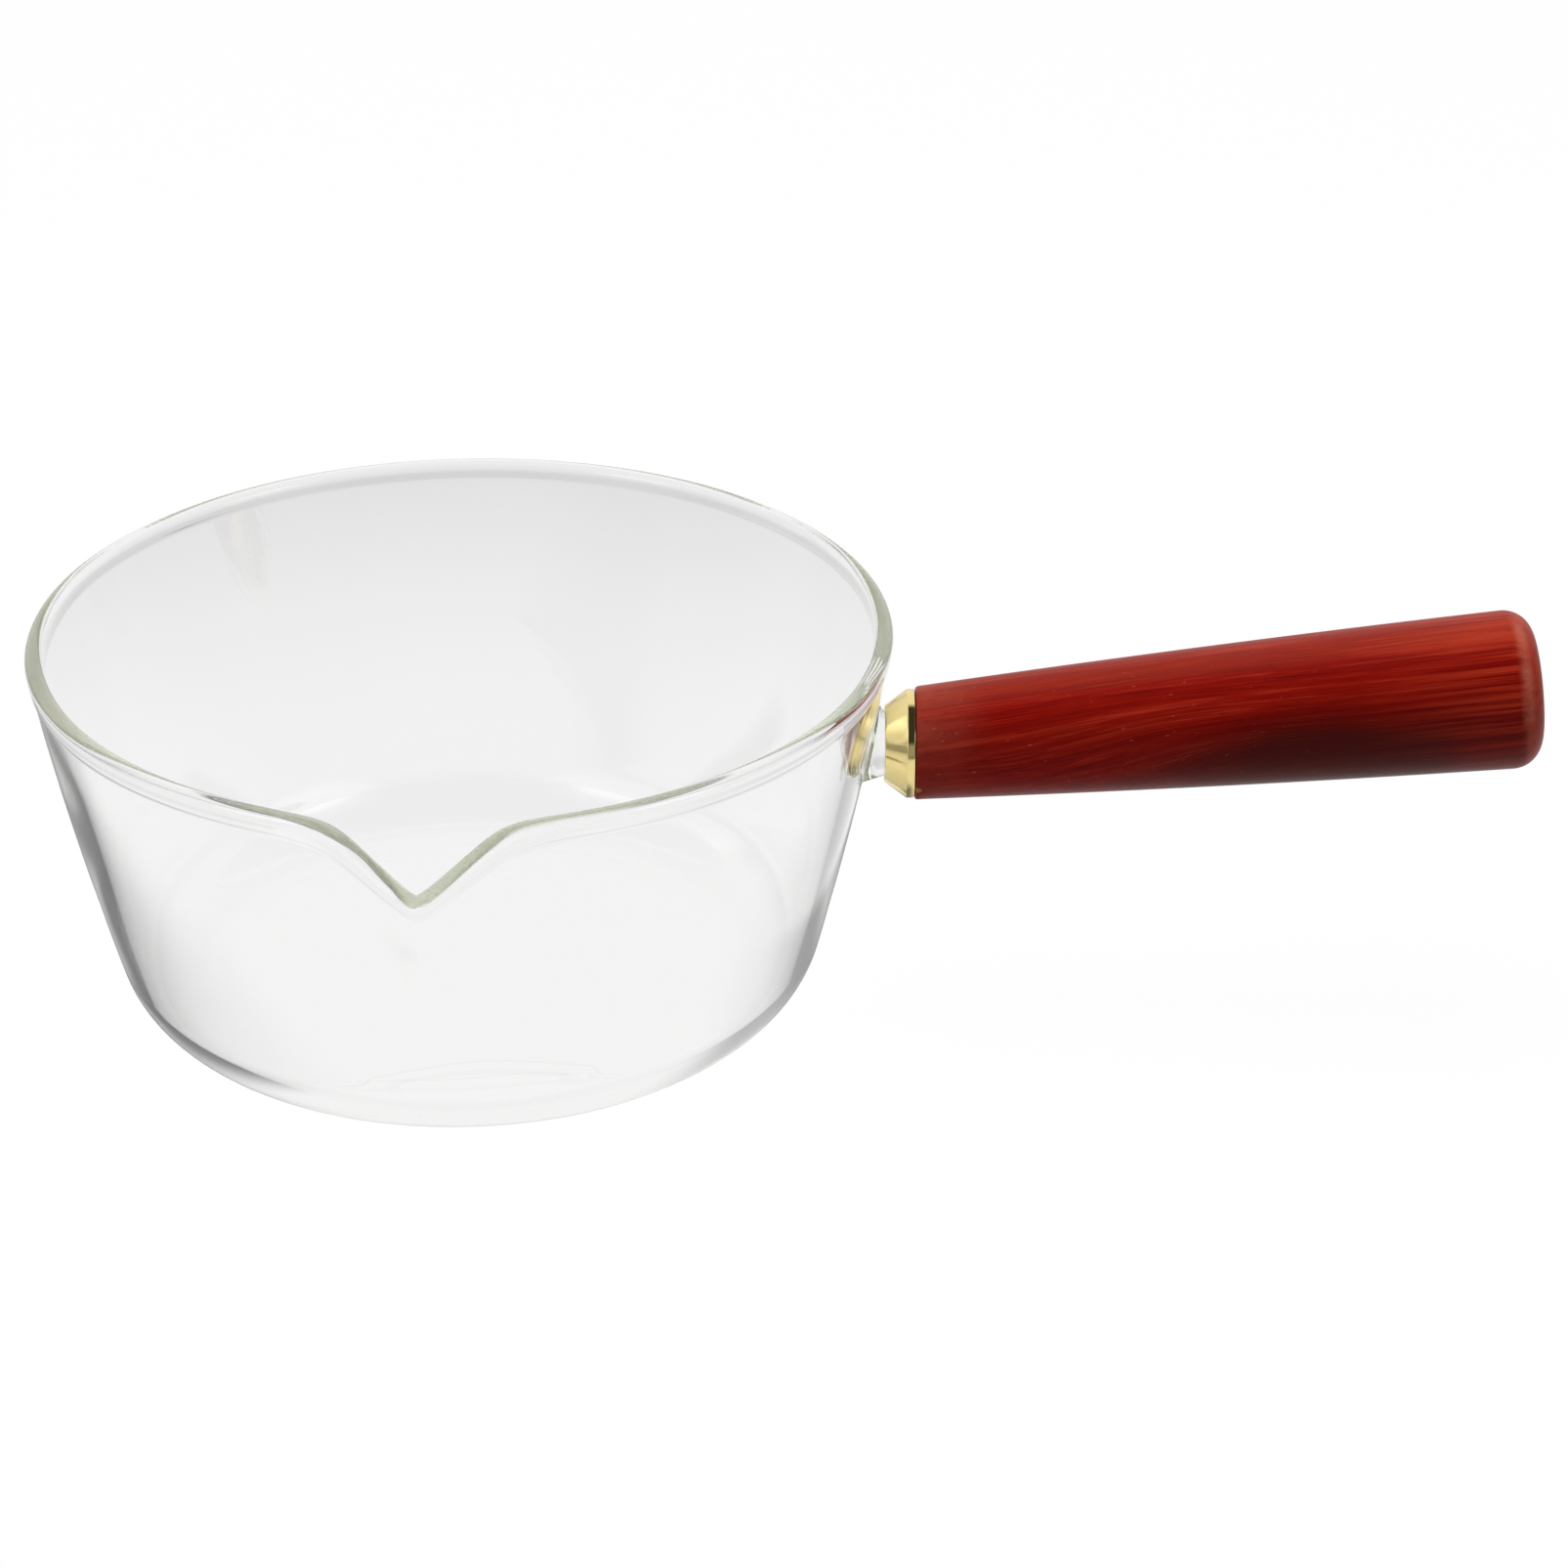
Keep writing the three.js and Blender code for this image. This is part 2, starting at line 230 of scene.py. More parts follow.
def spout_share(along_rim):
    """1 at the spout's tip, falling straight to nearly 0 at its shoulders."""
    round_tip = np.hypot(along_rim, SPOUT_TIP_ROUND) - SPOUT_TIP_ROUND
    slope = 1 - round_tip / SPOUT_HALF_WIDTH
    top = (1 + math.hypot(1, SPOUT_SHOULDER_ROUND)) / 2
    return (slope + np.hypot(slope, SPOUT_SHOULDER_ROUND)) / 2 / top


def bent_sheet():
    """The sheet's points in rows down and columns round, each row's way below the rim, the pull."""
    radius, height, way = section_of_sheet()
    even = np.linspace(-math.pi, math.pi, COLUMNS, endpoint=False)
    angle = even - CROWDING_AT_SPOUT * np.sin(even)
    fade = 1 - smooth_step(HEIGHT - height, 2 * bead_radius, SPOUT_FADE)
    share = spout_share(RIM_RADIUS * angle)[None, :]
    pull = fade[:, None] * share
    curl = np.clip(1 - way / LIP_CURL_RUN, 0, 1)[:, None] ** 2 * share
    r = radius[:, None] + (SPOUT_REACH - LIP_CURL) * pull + LIP_CURL * curl
    z = height[:, None] - SPOUT_DROP * pull
    turn = angle + SPOUT_TURN
    return np.stack([r * np.sin(turn), -r * np.cos(turn), z], axis=2), way, pull


def unit(vectors):
    return vectors / np.linalg.norm(vectors, axis=-1, keepdims=True)


sheet, way_below_rim, spout_pull = bent_sheet()
around = unit(np.roll(sheet, -1, axis=1) - np.roll(sheet, 1, axis=1))
downward = unit(np.gradient(sheet, axis=0))
outward = unit(np.cross(downward, around))
print("sheet", sheet.shape, "spout tip at", np.round(sheet[0, COLUMNS // 2] / MM, 2))

# %% [markdown]
# ## The stem
# The stem is a stub of thick tube that is melted onto the wall. It flares to a short cone there,
# with a small weld fillet all round. A boolean would leave a crease and a ragged ring of faces,
# and glass shows every crease. So a small window is left open in the wall's outer face, and rings
# run from the window's edge, over the fillet and the cone, along the stem, round its fire-polished
# end and down into the blind socket that holds the threaded bush.

# %% Rings of the stem, for the points round the window's edge
FILLET = 0.9 * MM
ROOT_FLARE = 1.1 * MM
END_ROUND = 0.7 * MM
FILLET_STEPS = 8
ROUND_STEPS = 5
SHARES_TO_FILLET = (0.35, 0.7, 1.0)
SOCKET_RADIUS = half_height(sleeve_low, sleeve_high) + FIT
SOCKET_FLOOR = sleeve_low.x - FIT


def wall_radius_at(height):
    """Outside radius of the plain wall at a height."""
    return wall_centre[0] + np.sqrt(wall_curve**2 - (wall_centre[1] - height) ** 2)


def stem_section():
    """Reach and place along the axis, from the ferrule's nose to the middle of the socket."""
    end_centre = (STEM_RADIUS - END_ROUND, STEM_END - END_ROUND)
    mouth_centre = (SOCKET_RADIUS + END_ROUND, STEM_END - END_ROUND)
    floor_centre = (SOCKET_RADIUS - END_ROUND, SOCKET_FLOOR + END_ROUND)
    return [
        (STEM_RADIUS, ferrule_low.x + FIT),
        *arc_points(end_centre, END_ROUND, 0, math.pi / 2, ROUND_STEPS),
        *arc_points(mouth_centre, END_ROUND, math.pi / 2, math.pi, ROUND_STEPS),
        *arc_points(floor_centre, END_ROUND, 0, -math.pi / 2, ROUND_STEPS),
        (SMALLEST_RING, SOCKET_FLOOR),
    ]


def stem_rings(edge):
    """Rings inside the window's edge: each keeps the edge's directions about the stem's axis."""
    direction = np.arctan2(edge[:, 2] - STEM_HEIGHT, edge[:, 1])
    edge_reach = np.hypot(edge[:, 2] - STEM_HEIGHT, edge[:, 1])
    full = np.ones_like(edge_reach)

    def ring(reach, x):
        y = reach * np.cos(direction)
        z = STEM_HEIGHT + reach * np.sin(direction)
        return np.stack([np.broadcast_to(x, y.shape), y, z], axis=1)

    def on_wall(reach):
        y = reach * np.cos(direction)
        z = STEM_HEIGHT + reach * np.sin(direction)
        return np.sqrt(wall_radius_at(z) ** 2 - y**2)

    rings = []
    root = STEM_RADIUS + ROOT_FLARE
    for share in SHARES_TO_FILLET:
        reach = edge_reach + (root + FILLET - edge_reach) * share
        rings.append(ring(reach, on_wall(reach)))
    for step in range(1, FILLET_STEPS + 1):
        turn = step / FILLET_STEPS * math.pi / 2
        reach = (root + FILLET * (1 - math.sin(turn))) * full
        rings.append(ring(reach, on_wall(reach) + FILLET * (1 - math.cos(turn))))
    rings += [ring(reach * full, x) for reach, x in stem_section()]
    return rings


# %% [markdown]
# ## The pan in one skin
# The outer face is the sheet moved out along its normals, the inner face the sheet moved in, and
# the bead is a half circle of rings over the rim between them. The glass swells a little under
# the bead, because a rim melted smooth in the flame draws back into a rounder edge. The flame
# comes from the spout's side, so the swell runs further down there than at the back, and furthest
# in the spout, which was heated for longest. Where the spout was drawn out the glass is thinner,
# and the inside of the wall wavers by a few hundredths of a millimetre, as the inside of blown
# glass does: that is what makes its reflections swim.

# %% Waver of the inside and marks on the outside
WAVER = 0.045 * MM
WAVER_START = 14 * MM
MARKS_ASIDE = 1.9 * MM
MARKS_BELOW_RIM = 6.2 * MM
MARKS_HALF_WIDTH = 1.7 * MM
MARKS_HALF_HEIGHT = 1.5 * MM
MARKS_SPACING = 1.7 * MM
MARKS_SLANT = 0.4
MARKS_DEPTH = 0.22 * MM


def turn_from_front(points):
    """Turn of each point about the pan's axis, 0 at the front and growing to the right."""
    return np.arctan2(points[..., 0], -points[..., 1])


def inside_waver():
    """How far the inner face strays from an even wall, none at the bead or in the middle."""
    turn = turn_from_front(sheet)
    way = way_below_rim[:, None] / MM
    lobes = np.sin(3 * turn + 1.2) * np.cos(way / 17) + 0.6 * np.sin(7 * turn - way / 9)
    reach = np.hypot(sheet[..., 0], sheet[..., 1]) / RIM_RADIUS
    return WAVER * lobes * smooth_step(way_below_rim, 0, WAVER_START)[:, None] * reach


def tool_marks():
    """Shallow dents that the tool left on the outside, a little below the spout's tip."""
    beside = RIM_RADIUS * (turn_from_front(sheet) - SPOUT_TURN) - MARKS_ASIDE
    down = way_below_rim[:, None] - MARKS_BELOW_RIM
    near = np.exp(-((beside / MARKS_HALF_WIDTH) ** 2) - (down / MARKS_HALF_HEIGHT) ** 2)
    waves = np.cos(2 * math.pi * (down + MARKS_SLANT * beside) / MARKS_SPACING)
    return MARKS_DEPTH * near * waves


# %% Outer face, bead and inner face
BEAD_STEPS = 18
SPOUT_THINNING = 0.24
SWELL_FADES_AT_SIDES = (1.4 * MM, 2.4 * MM)
SWELL_FADES_AT_BACK = (0.7 * MM, 1.8 * MM)
SWELL_FADES_IN_SPOUT = (2.1 * MM, 3.55 * MM)
TURNS_TO_BACK = (1.55, 1.90)
TURNS_OUT_OF_SPOUT = (0.17, 0.33)


def half_wall():
    """Half the glass's thickness all over the sheet, with the swell that fades below the bead."""
    turn = turn_from_front(sheet)
    behind = smooth_step(np.abs(turn), *TURNS_TO_BACK)
    in_spout = 1 - smooth_step(np.abs(turn - SPOUT_TURN), *TURNS_OUT_OF_SPOUT)
    start, end = (
        side + (back - side) * behind + (spout - side) * in_spout
        for side, back, spout in zip(
            SWELL_FADES_AT_SIDES, SWELL_FADES_AT_BACK, SWELL_FADES_IN_SPOUT
        )
    )
    swell = 1 - smooth_step(way_below_rim[:, None], start, end)
    return (WALL / 2 + BEAD_SWELL * swell) * (1 - SPOUT_THINNING * spout_pull)


def glass_rings():
    """Rings from the middle of the underside up the outside, over the bead and down the inside."""
    half = half_wall()
    outer = sheet + outward * (half + tool_marks())[..., None]
    inner = sheet - outward * (half + inside_waver())[..., None]
    over_rim = unit(np.cross(around[0], outward[0]))
    over_rim *= np.sign(-np.sum(over_rim * downward[0], axis=1, keepdims=True))
    turns = np.linspace(0, math.pi, BEAD_STEPS + 1)[1:-1]
    lip = half[0][:, None]
    bead = [sheet[0] + lip * (math.cos(t) * outward[0] + math.sin(t) * over_rim) for t in turns]
    return [*outer[::-1], *bead, *inner]


# %% The window for the stem
WINDOW_HALF = 9.2 * MM


def window_span(rings):
    """First and last row, and first and last column, of the window in the outer face."""
    beside = RIM_RADIUS * np.sin(turn_from_front(rings[0]) - math.pi / 2)
    columns = np.flatnonzero((np.abs(beside) < WINDOW_HALF) & (rings[0][:, 0] > 0))
    heights = np.array([ring[columns[0], 2] for ring in rings[: len(sheet)]])
    rows = np.flatnonzero(np.abs(heights - STEM_HEIGHT) < WINDOW_HALF)
    return rows[0], rows[-1], columns[0], columns[-1]


def window_edge(numbers, low, high, left, right):
    """Vertex numbers once round the window's edge."""
    edge = [numbers[low][c] for c in range(left, right)]
    edge += [numbers[r][right] for r in range(low, high)]
    edge += [numbers[high][c] for c in range(right, left, -1)]
    edge += [numbers[r][left] for r in range(high, low, -1)]
    return np.array(edge)


# %% Wall and stem in one skin


def make_pan():
    rings = glass_rings()
    numbers = [np.arange(COLUMNS) + COLUMNS * i for i in range(len(rings))]
    points = np.concatenate(rings)
    low, high, left, right = window_span(rings)
    faces = []
    for i, (first, second) in enumerate(zip(numbers[:-1], numbers[1:])):
        band = ring_faces(first, second)
        if low <= i < high:
            band = band[:left] + band[right:]
        faces += band
    last = window_edge(numbers, low, high, left, right)
    for ring in stem_rings(points[last]):
        numbers_of_ring = np.arange(len(ring)) + len(points)
        points = np.concatenate([points, ring])
        faces += ring_faces(last, numbers_of_ring)
        last = numbers_of_ring
    poles = [[0, 0, rings[0][0, 2]], [0, 0, rings[-1][0, 2]], [SOCKET_FLOOR, 0, STEM_HEIGHT]]
    first_pole = len(points)
    faces += pole_faces(numbers[0], first_pole, False)
    faces += pole_faces(numbers[-1], first_pole + 1, True)
    faces += pole_faces(last, first_pole + 2, True)
    return skin_object("clear_pan", np.concatenate([points, np.array(poles)]), faces)


clear_pan = make_pan()

# %% [markdown]
# ## The ferrule
# The ferrule is turned from brass and plated: a short cone, a crisp edge, and a straight band
# against the wood. It is a closed section spun round the handle's axis. The edges are rounded by
# a tenth or two of a millimetre, because the thin lines of light on them are what makes polished
# metal look solid.

# %% Spin a section round the handle's axis
TURNED_COLUMNS = 160
MOST_CUT = 0.4
CORNER_CURVE_STEPS = 3


def spun_ring(reach, x, count=TURNED_COLUMNS):
    """A ring round the handle's axis, with one reach for all of it or one for each point."""
    turn = np.linspace(0, 2 * math.pi, count, endpoint=False)
    y = reach * np.cos(turn)
    z = STEM_HEIGHT + reach * np.sin(turn)
    return np.stack([np.full(count, x), y, z], axis=1)


def eased(section, cut):
    """The closed section with each corner cut back and rounded by a short curve."""
    made = []
    count = len(section)
    for i in range(count):
        before = np.array(section[i - 1])
        corner = np.array(section[i])
        after = np.array(section[(i + 1) % count])
        back = min(cut, MOST_CUT * np.linalg.norm(before - corner))
        on = min(cut, MOST_CUT * np.linalg.norm(after - corner))
        start = corner + back * (before - corner) / np.linalg.norm(before - corner)
        stop = corner + on * (after - corner) / np.linalg.norm(after - corner)
        for t in np.linspace(0, 1, CORNER_CURVE_STEPS + 1):
            made.append(tuple((1 - t) ** 2 * start + 2 * t * (1 - t) * corner + t**2 * stop))
    return made


def spun_piece(name, corners, cut):
    """A piece spun from (reach, x) corners that run anticlockwise seen with x to the right."""
    section = eased(corners[::-1], cut)
    return skin_of_rings(name, [spun_ring(reach, x) for reach, x in section], ends_meet=True)


# %% The ferrule's section
FERRULE_BAND = 1.3 * MM
FERRULE_NOSE_WALL = 0.85 * MM
FERRULE_EDGE = 0.14 * MM
SPIGOT_LENGTH = 1.8 * MM
SPIGOT_WALL = 1.6 * MM
SLIP = 0.3 * MM
band_radius = half_height(ferrule_low, ferrule_high)
throat = STEM_RADIUS + SLIP
nose_radius = throat + FERRULE_NOSE_WALL
spigot_radius = throat + SPIGOT_WALL
recess = spigot_radius + FIT
recess_floor = ferrule_high.x - SPIGOT_LENGTH - FIT
ferrule_corners = [
    (throat, ferrule_low.x),
    (throat, recess_floor),
    (recess, recess_floor),
    (recess, ferrule_high.x),
    (band_radius, ferrule_high.x),
    (band_radius, ferrule_high.x - FERRULE_BAND),
    (nose_radius, ferrule_low.x),
]
gold_ferrule = spun_piece("gold_ferrule", ferrule_corners, FERRULE_EDGE)

# %% [markdown]
# ## The grip
# The wooden grip is a taper that swells very slightly in the middle and rises from the ferrule.
# Its front is faced off square to the ferrule, so each line along the wood starts at its own
# place on that face. Rings round the rising axis run from the rounded end to the front; from
# there they go on round the ferrule's axis, over the spigot and down the drilled hole. The front
# edge was once knocked, and a small chip is pressed in there.

# %% The grip's own axis and its taper
GRIP_RISE = math.radians(5.8)
GRIP_LENGTH = 109 * MM
GRIP_BOW = 0.4 * MM
GRIP_END_ROUND = 5.2 * MM
GRIP_PROUD = 0.3 * MM
grip_front = ferrule_high.x + FIT
front_radius = band_radius + GRIP_PROUD
end_radius = (grip_high.y - grip_low.y) / 2
side_length = GRIP_LENGTH - GRIP_END_ROUND
grip_along = np.array([math.cos(GRIP_RISE), 0, math.sin(GRIP_RISE)])
grip_up = np.array([-math.sin(GRIP_RISE), 0, math.cos(GRIP_RISE)])
grip_side = np.array([0, 1, 0])
grip_start = np.array([grip_front, 0, STEM_HEIGHT])


def taper_radius(way):
    """Radius at a way along the grip's axis."""
    share = np.clip(way / side_length, 0, 1)
    straight = front_radius + (end_radius - front_radius) * share
    return straight + GRIP_BOW * 4 * share * (1 - share)


print("grip radius", round(front_radius / MM, 2), "to", round(end_radius / MM, 2), "mm")

# %% The chip in the front edge
CHIP_TURN = math.radians(-149)
CHIP_SIZE = 0.55 * MM
CHIP_DEPTH = 0.3 * MM
CHIP_BEHIND_EDGE = 0.3 * MM
chip_out = math.cos(CHIP_TURN) * grip_side + math.sin(CHIP_TURN) * grip_up
chip_way = front_radius * math.sin(CHIP_TURN) * math.tan(GRIP_RISE) + CHIP_BEHIND_EDGE
chip_place = grip_start + chip_way * grip_along + front_radius * chip_out


def chipped(points):
    """The points, pressed in where the front edge was once knocked."""
    near = np.exp(-np.sum((points - chip_place) ** 2, axis=1) / CHIP_SIZE**2)
    return points - CHIP_DEPTH * near[:, None] * chip_out


print("chip at", np.round(chip_place / MM, 1))

# %% The grip's rings
GRIP_EASE = 0.45 * MM
GRIP_ROWS = 110
END_STEPS = 18
EASE_SHARES = (0.3, 0.6, 0.85, 1.0)
PILOT_DEPTH = 6 * MM
counterbore_floor = washer_high.x + FIT
insert_bore = half_height(insert_low, insert_high) + FIT
stud_bore = half_height(stud_low, stud_high) + FIT
pilot_end = insert_high.x + PILOT_DEPTH


def make_grip():
    turn = np.linspace(0, 2 * math.pi, TURNED_COLUMNS, endpoint=False)
    round_axis = np.outer(np.cos(turn), grip_side) + np.outer(np.sin(turn), grip_up)

    def ring(reach, way):
        along = np.broadcast_to(way, turn.shape)[:, None] * grip_along
        return grip_start + along + np.broadcast_to(reach, turn.shape)[:, None] * round_axis

    front_way = front_radius * np.sin(turn) * math.tan(GRIP_RISE)
    rings = [ring(SMALLEST_RING, GRIP_LENGTH)]
    end_centre = (end_radius - GRIP_END_ROUND, side_length)
    for reach, way in arc_points(end_centre, GRIP_END_ROUND, math.pi / 2, 0, END_STEPS):
        rings.append(ring(reach, way))
    for share in np.linspace(1, 0, GRIP_ROWS + 1)[1:]:
        way = front_way + GRIP_EASE + (side_length - front_way - GRIP_EASE) * share
        rings.append(ring(taper_radius(way), way))
    for share in EASE_SHARES:
        angle = share * math.pi / 2
        way = front_way + GRIP_EASE * (1 - math.sin(angle))
        rings.append(ring(front_radius - GRIP_EASE * (1 - math.cos(angle)), way))
    rings = [chipped(r) for r in rings]
    drilled = [
        (spigot_radius, grip_front),
        (spigot_radius, grip_front - SPIGOT_LENGTH),
        (throat, grip_front - SPIGOT_LENGTH),
        (throat, counterbore_floor),
        (insert_bore, counterbore_floor),
        (insert_bore, insert_high.x + FIT),
        (stud_bore, insert_high.x + FIT),
        (stud_bore, pilot_end),
        (SMALLEST_RING, pilot_end),
    ]
    rings += [spun_ring(reach, x) for reach, x in drilled]
    return skin_of_rings("red_grip", [r[::-1] for r in rings])


red_grip = make_grip()

# %% [markdown]
# ## The screw
# Wood can't be screwed straight onto glass, so a brass bush is set in the stem's socket with
# heat-proof resin, a steel stud is locked into a brass insert in the wood, and a soft washer takes
# up the glass's end. They show only through the stem when the handle is unscrewed. The bush and
# the insert have grooves and a knurl, so that resin and wood can grip them, and the stud has a real
# helical thread: the same ring as a rod, with a ridge that climbs once round in each pitch.

# %% Knurled bushes
KNURL_TEETH = 36
KNURL_DEPTH = 0.07 * MM
GROOVES = 3
GROOVE_DEPTH = 0.22 * MM
BUSH_ROWS = 60
stud_radius = half_height(stud_low, stud_high)
thread_bore = stud_radius + FIT


def knurled_bush(name, low, high):
    """A bush round the thread's bore, knurled outside, with turned grooves across the knurl."""
    turn = np.linspace(0, 2 * math.pi, TURNED_COLUMNS, endpoint=False)
    knurled = half_height(low, high) - KNURL_DEPTH * (0.5 - 0.5 * np.cos(KNURL_TEETH * turn))
    places = np.linspace(low.x, high.x, BUSH_ROWS)
    share = (places - low.x) / (high.x - low.x)
    in_groove = np.clip(2.5 * np.cos(2 * math.pi * GROOVES * share) - 1.5, 0, 1)
    rings = [spun_ring(knurled - GROOVE_DEPTH * g, x) for x, g in zip(places, in_groove)]
    rings = [spun_ring(thread_bore, low.x), *rings, spun_ring(thread_bore, high.x)]
    return skin_of_rings(name, rings, ends_meet=True)


brass_bush = knurled_bush("brass_bush", bush_low, bush_high)
wood_insert = knurled_bush("wood_insert", insert_low, insert_high)

# %% The stud's thread
THREAD_PITCH = 0.7 * MM
THREAD_DEPTH = 0.36 * MM
STEPS_PER_PITCH = 10
STUD_COLUMNS = 72
STUD_CHAMFER = 0.5 * MM


def make_stud():
    lead = np.arange(STUD_COLUMNS) / STUD_COLUMNS
    places = np.arange(stud_low.x, stud_high.x, THREAD_PITCH / STEPS_PER_PITCH)
    rings = [spun_ring(SMALLEST_RING, stud_low.x, STUD_COLUMNS)]
    for x in [*places, stud_high.x]:
        climb = (x - stud_low.x) / THREAD_PITCH - lead
        ridge = np.abs(2 * (climb - np.floor(climb)) - 1)
        from_end = min(x - stud_low.x, stud_high.x - x)
        chamfer = max(0, STUD_CHAMFER - from_end)
        reach = np.minimum(stud_radius - THREAD_DEPTH * ridge, stud_radius - chamfer)
        rings.append(spun_ring(reach, x, STUD_COLUMNS))
    rings.append(spun_ring(SMALLEST_RING, stud_high.x, STUD_COLUMNS))
    return skin_of_rings("threaded_stud", rings)


threaded_stud = make_stud()

# %% Sleeve and washer
TUBE_EDGE = 0.15 * MM


def tube(name, inner, outer, low, high):
    """A plain tube along the handle's axis with softened edges."""
    corners = [(inner, low.x), (inner, high.x), (outer, high.x), (outer, low.x)]
    return spun_piece(name, corners, TUBE_EDGE)


sleeve_bore = half_height(bush_low, bush_high) + FIT
sleeve_radius = half_height(sleeve_low, sleeve_high)
resin_sleeve = tube("resin_sleeve", sleeve_bore, sleeve_radius, sleeve_low, sleeve_high)
soft_washer = tube("soft_washer", thread_bore, STEM_RADIUS, washer_low, washer_high)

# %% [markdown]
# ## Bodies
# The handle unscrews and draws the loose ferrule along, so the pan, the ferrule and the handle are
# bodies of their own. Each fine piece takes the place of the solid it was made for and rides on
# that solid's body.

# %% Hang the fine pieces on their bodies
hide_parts("stem_insert")
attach(brass_bush, "pan")
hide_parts("insert_sleeve")
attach(resin_sleeve, "pan")
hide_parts("handle_stud")
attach(threaded_stud, "handle")
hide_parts("grip_insert")
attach(wood_insert, "handle")
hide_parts("end_washer")
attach(soft_washer, "handle")
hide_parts("glass_pan")
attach(clear_pan, "pan")
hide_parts("ferrule")
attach(gold_ferrule, "ferrule")
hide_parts("handle_grip")
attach(red_grip, "handle")

# %% [markdown]
# ## Writing shader maths as Python
# A material is a tree of nodes. Wiring each Math node by hand hides what is being worked out, so
# one small class stands for a socket, and + - * on it add the nodes. Every other node comes from
# its node method, which takes the kind of node, its settings and what feeds its sockets.

# %% A wire between nodes


def feed(socket, value):
    """Links a wire to a socket, or sets a plain value on it."""
    if isinstance(value, Wire):
        socket.id_data.links.new(value.socket, socket)
    elif socket.type == "RGBA" and len(value) == 3:
        socket.default_value = (*value, 1)
    else:
        socket.default_value = value


def set_stops(ramp, stops):
    """Gives a colour ramp its stops."""
    while len(ramp.elements) < len(stops):
        ramp.elements.new(1)
    for element, (position, colour) in zip(ramp.elements, stops):
        element.position = position
        element.color = (*colour, 1)


class Wire:
    """One output socket of a node tree."""

    def __init__(self, socket):
        self.socket = socket

    def node(self, kind, settings, inputs, output=0):
        made = self.socket.id_data.nodes.new(kind)
        for name, value in settings.items():
            if name == "stops":
                set_stops(made.color_ramp, value)
            else:
                setattr(made, name, value)
        for name, value in inputs.items():
            feed(made.inputs[name], value)
        return Wire(made.outputs[output])

    def other(self, output):
        """Another output of the same node."""
        return Wire(self.socket.node.outputs[output])

    def maths(self, operation, first, second):
        return self.node("ShaderNodeMath", {"operation": operation}, {0: first, 1: second})

    def __add__(self, value):
        return self.maths("ADD", self, value)

    def __sub__(self, value):
        return self.maths("SUBTRACT", self, value)

    def __rsub__(self, value):
        return self.maths("SUBTRACT", value, self)

    def __mul__(self, value):
        return self.maths("MULTIPLY", self, value)

    __radd__ = __add__
    __rmul__ = __mul__


# %% A new finish, and a piece that gets it


def new_finish(name):
    """A new material, its Principled shader, and a wire of the place on the piece in metres."""
    material = bpy.data.materials.new(name)
    material.use_nodes = True
    tree = material.node_tree
    shader = tree.nodes["Principled BSDF"]
    place = Wire(tree.nodes.new("ShaderNodeTexCoord").outputs["Object"])
    return material, shader, place


def coat(piece, material):
    piece.data.materials.append(material)
    print(piece.name, "is finished in", material.name, len(material.node_tree.nodes), "nodes")


# %% Helpers for places and numbers


def dot(place, direction):
    """How far a place lies along a direction."""
    inputs = {0: place, 1: tuple(direction)}
    return place.node("ShaderNodeVectorMath", {"operation": "DOT_PRODUCT"}, inputs, "Value")


def away_from(place, origin):
    """The place as seen from an origin."""
    inputs = {0: place, 1: tuple(origin)}
    return place.node("ShaderNodeVectorMath", {"operation": "SUBTRACT"}, inputs)


def length_of(vector):
    return vector.node("ShaderNodeVectorMath", {"operation": "LENGTH"}, {0: vector}, "Value")


def joined(x, y, z):
    """A vector from three values, the first of them a wire."""
    return x.node("ShaderNodeCombineXYZ", {}, {0: x, 1: y, 2: z})


def unsigned(value):
    return value.maths("ABSOLUTE", value, 0)


def lesser(first, second):
    return first.maths("MINIMUM", first, second)


def greater(first, second):
    return first.maths("MAXIMUM", first, second)


# %% Helpers for noise, masks, colours and bumps


def noise(place, scale, detail=2.0, roughness=0.5):
    inputs = {"Vector": place, "Scale": scale, "Detail": detail, "Roughness": roughness}
    return place.node("ShaderNodeTexNoise", {}, inputs)


def ease(value, low, high):
    """0 below low, 1 above high, and smooth between."""
    inputs = {"Value": value, "From Min": low, "From Max": high}
    return value.node("ShaderNodeMapRange", {"interpolation_type": "SMOOTHSTEP"}, inputs)


def mixed(factor, first, second):
    """A colour part of the way from the first to the second."""
    inputs = {0: factor, 6: first, 7: second}
    return factor.node("ShaderNodeMix", {"data_type": "RGBA"}, inputs, output=2)


def bumped(height, depth):
    """A normal from heights of 0 to 1 that stand for a depth in metres."""
    return height.node("ShaderNodeBump", {}, {"Height": height, "Distance": depth, "Strength": 1.0})


# %% [markdown]
# ## Clear glass
# Borosilicate glass is colourless in a thin wall and grey-green along an edge, where the eye looks
# through centimetres of it. So the surface itself has no colour: it bends and mirrors light, and
# the tint is an absorption inside the volume. Lamps must not be stopped by the pan, or it would
# cast the shadow of a black pot, so shadow rays pass straight through.

# %% Clear glass
GLASS_BENDING = 1.47
GLASS_TINT = (0.927, 0.940, 0.876)
GLASS_TINT_PER_METRE = 10
LAMP_LIGHT_LET_THROUGH = (0.93, 0.95, 0.93)


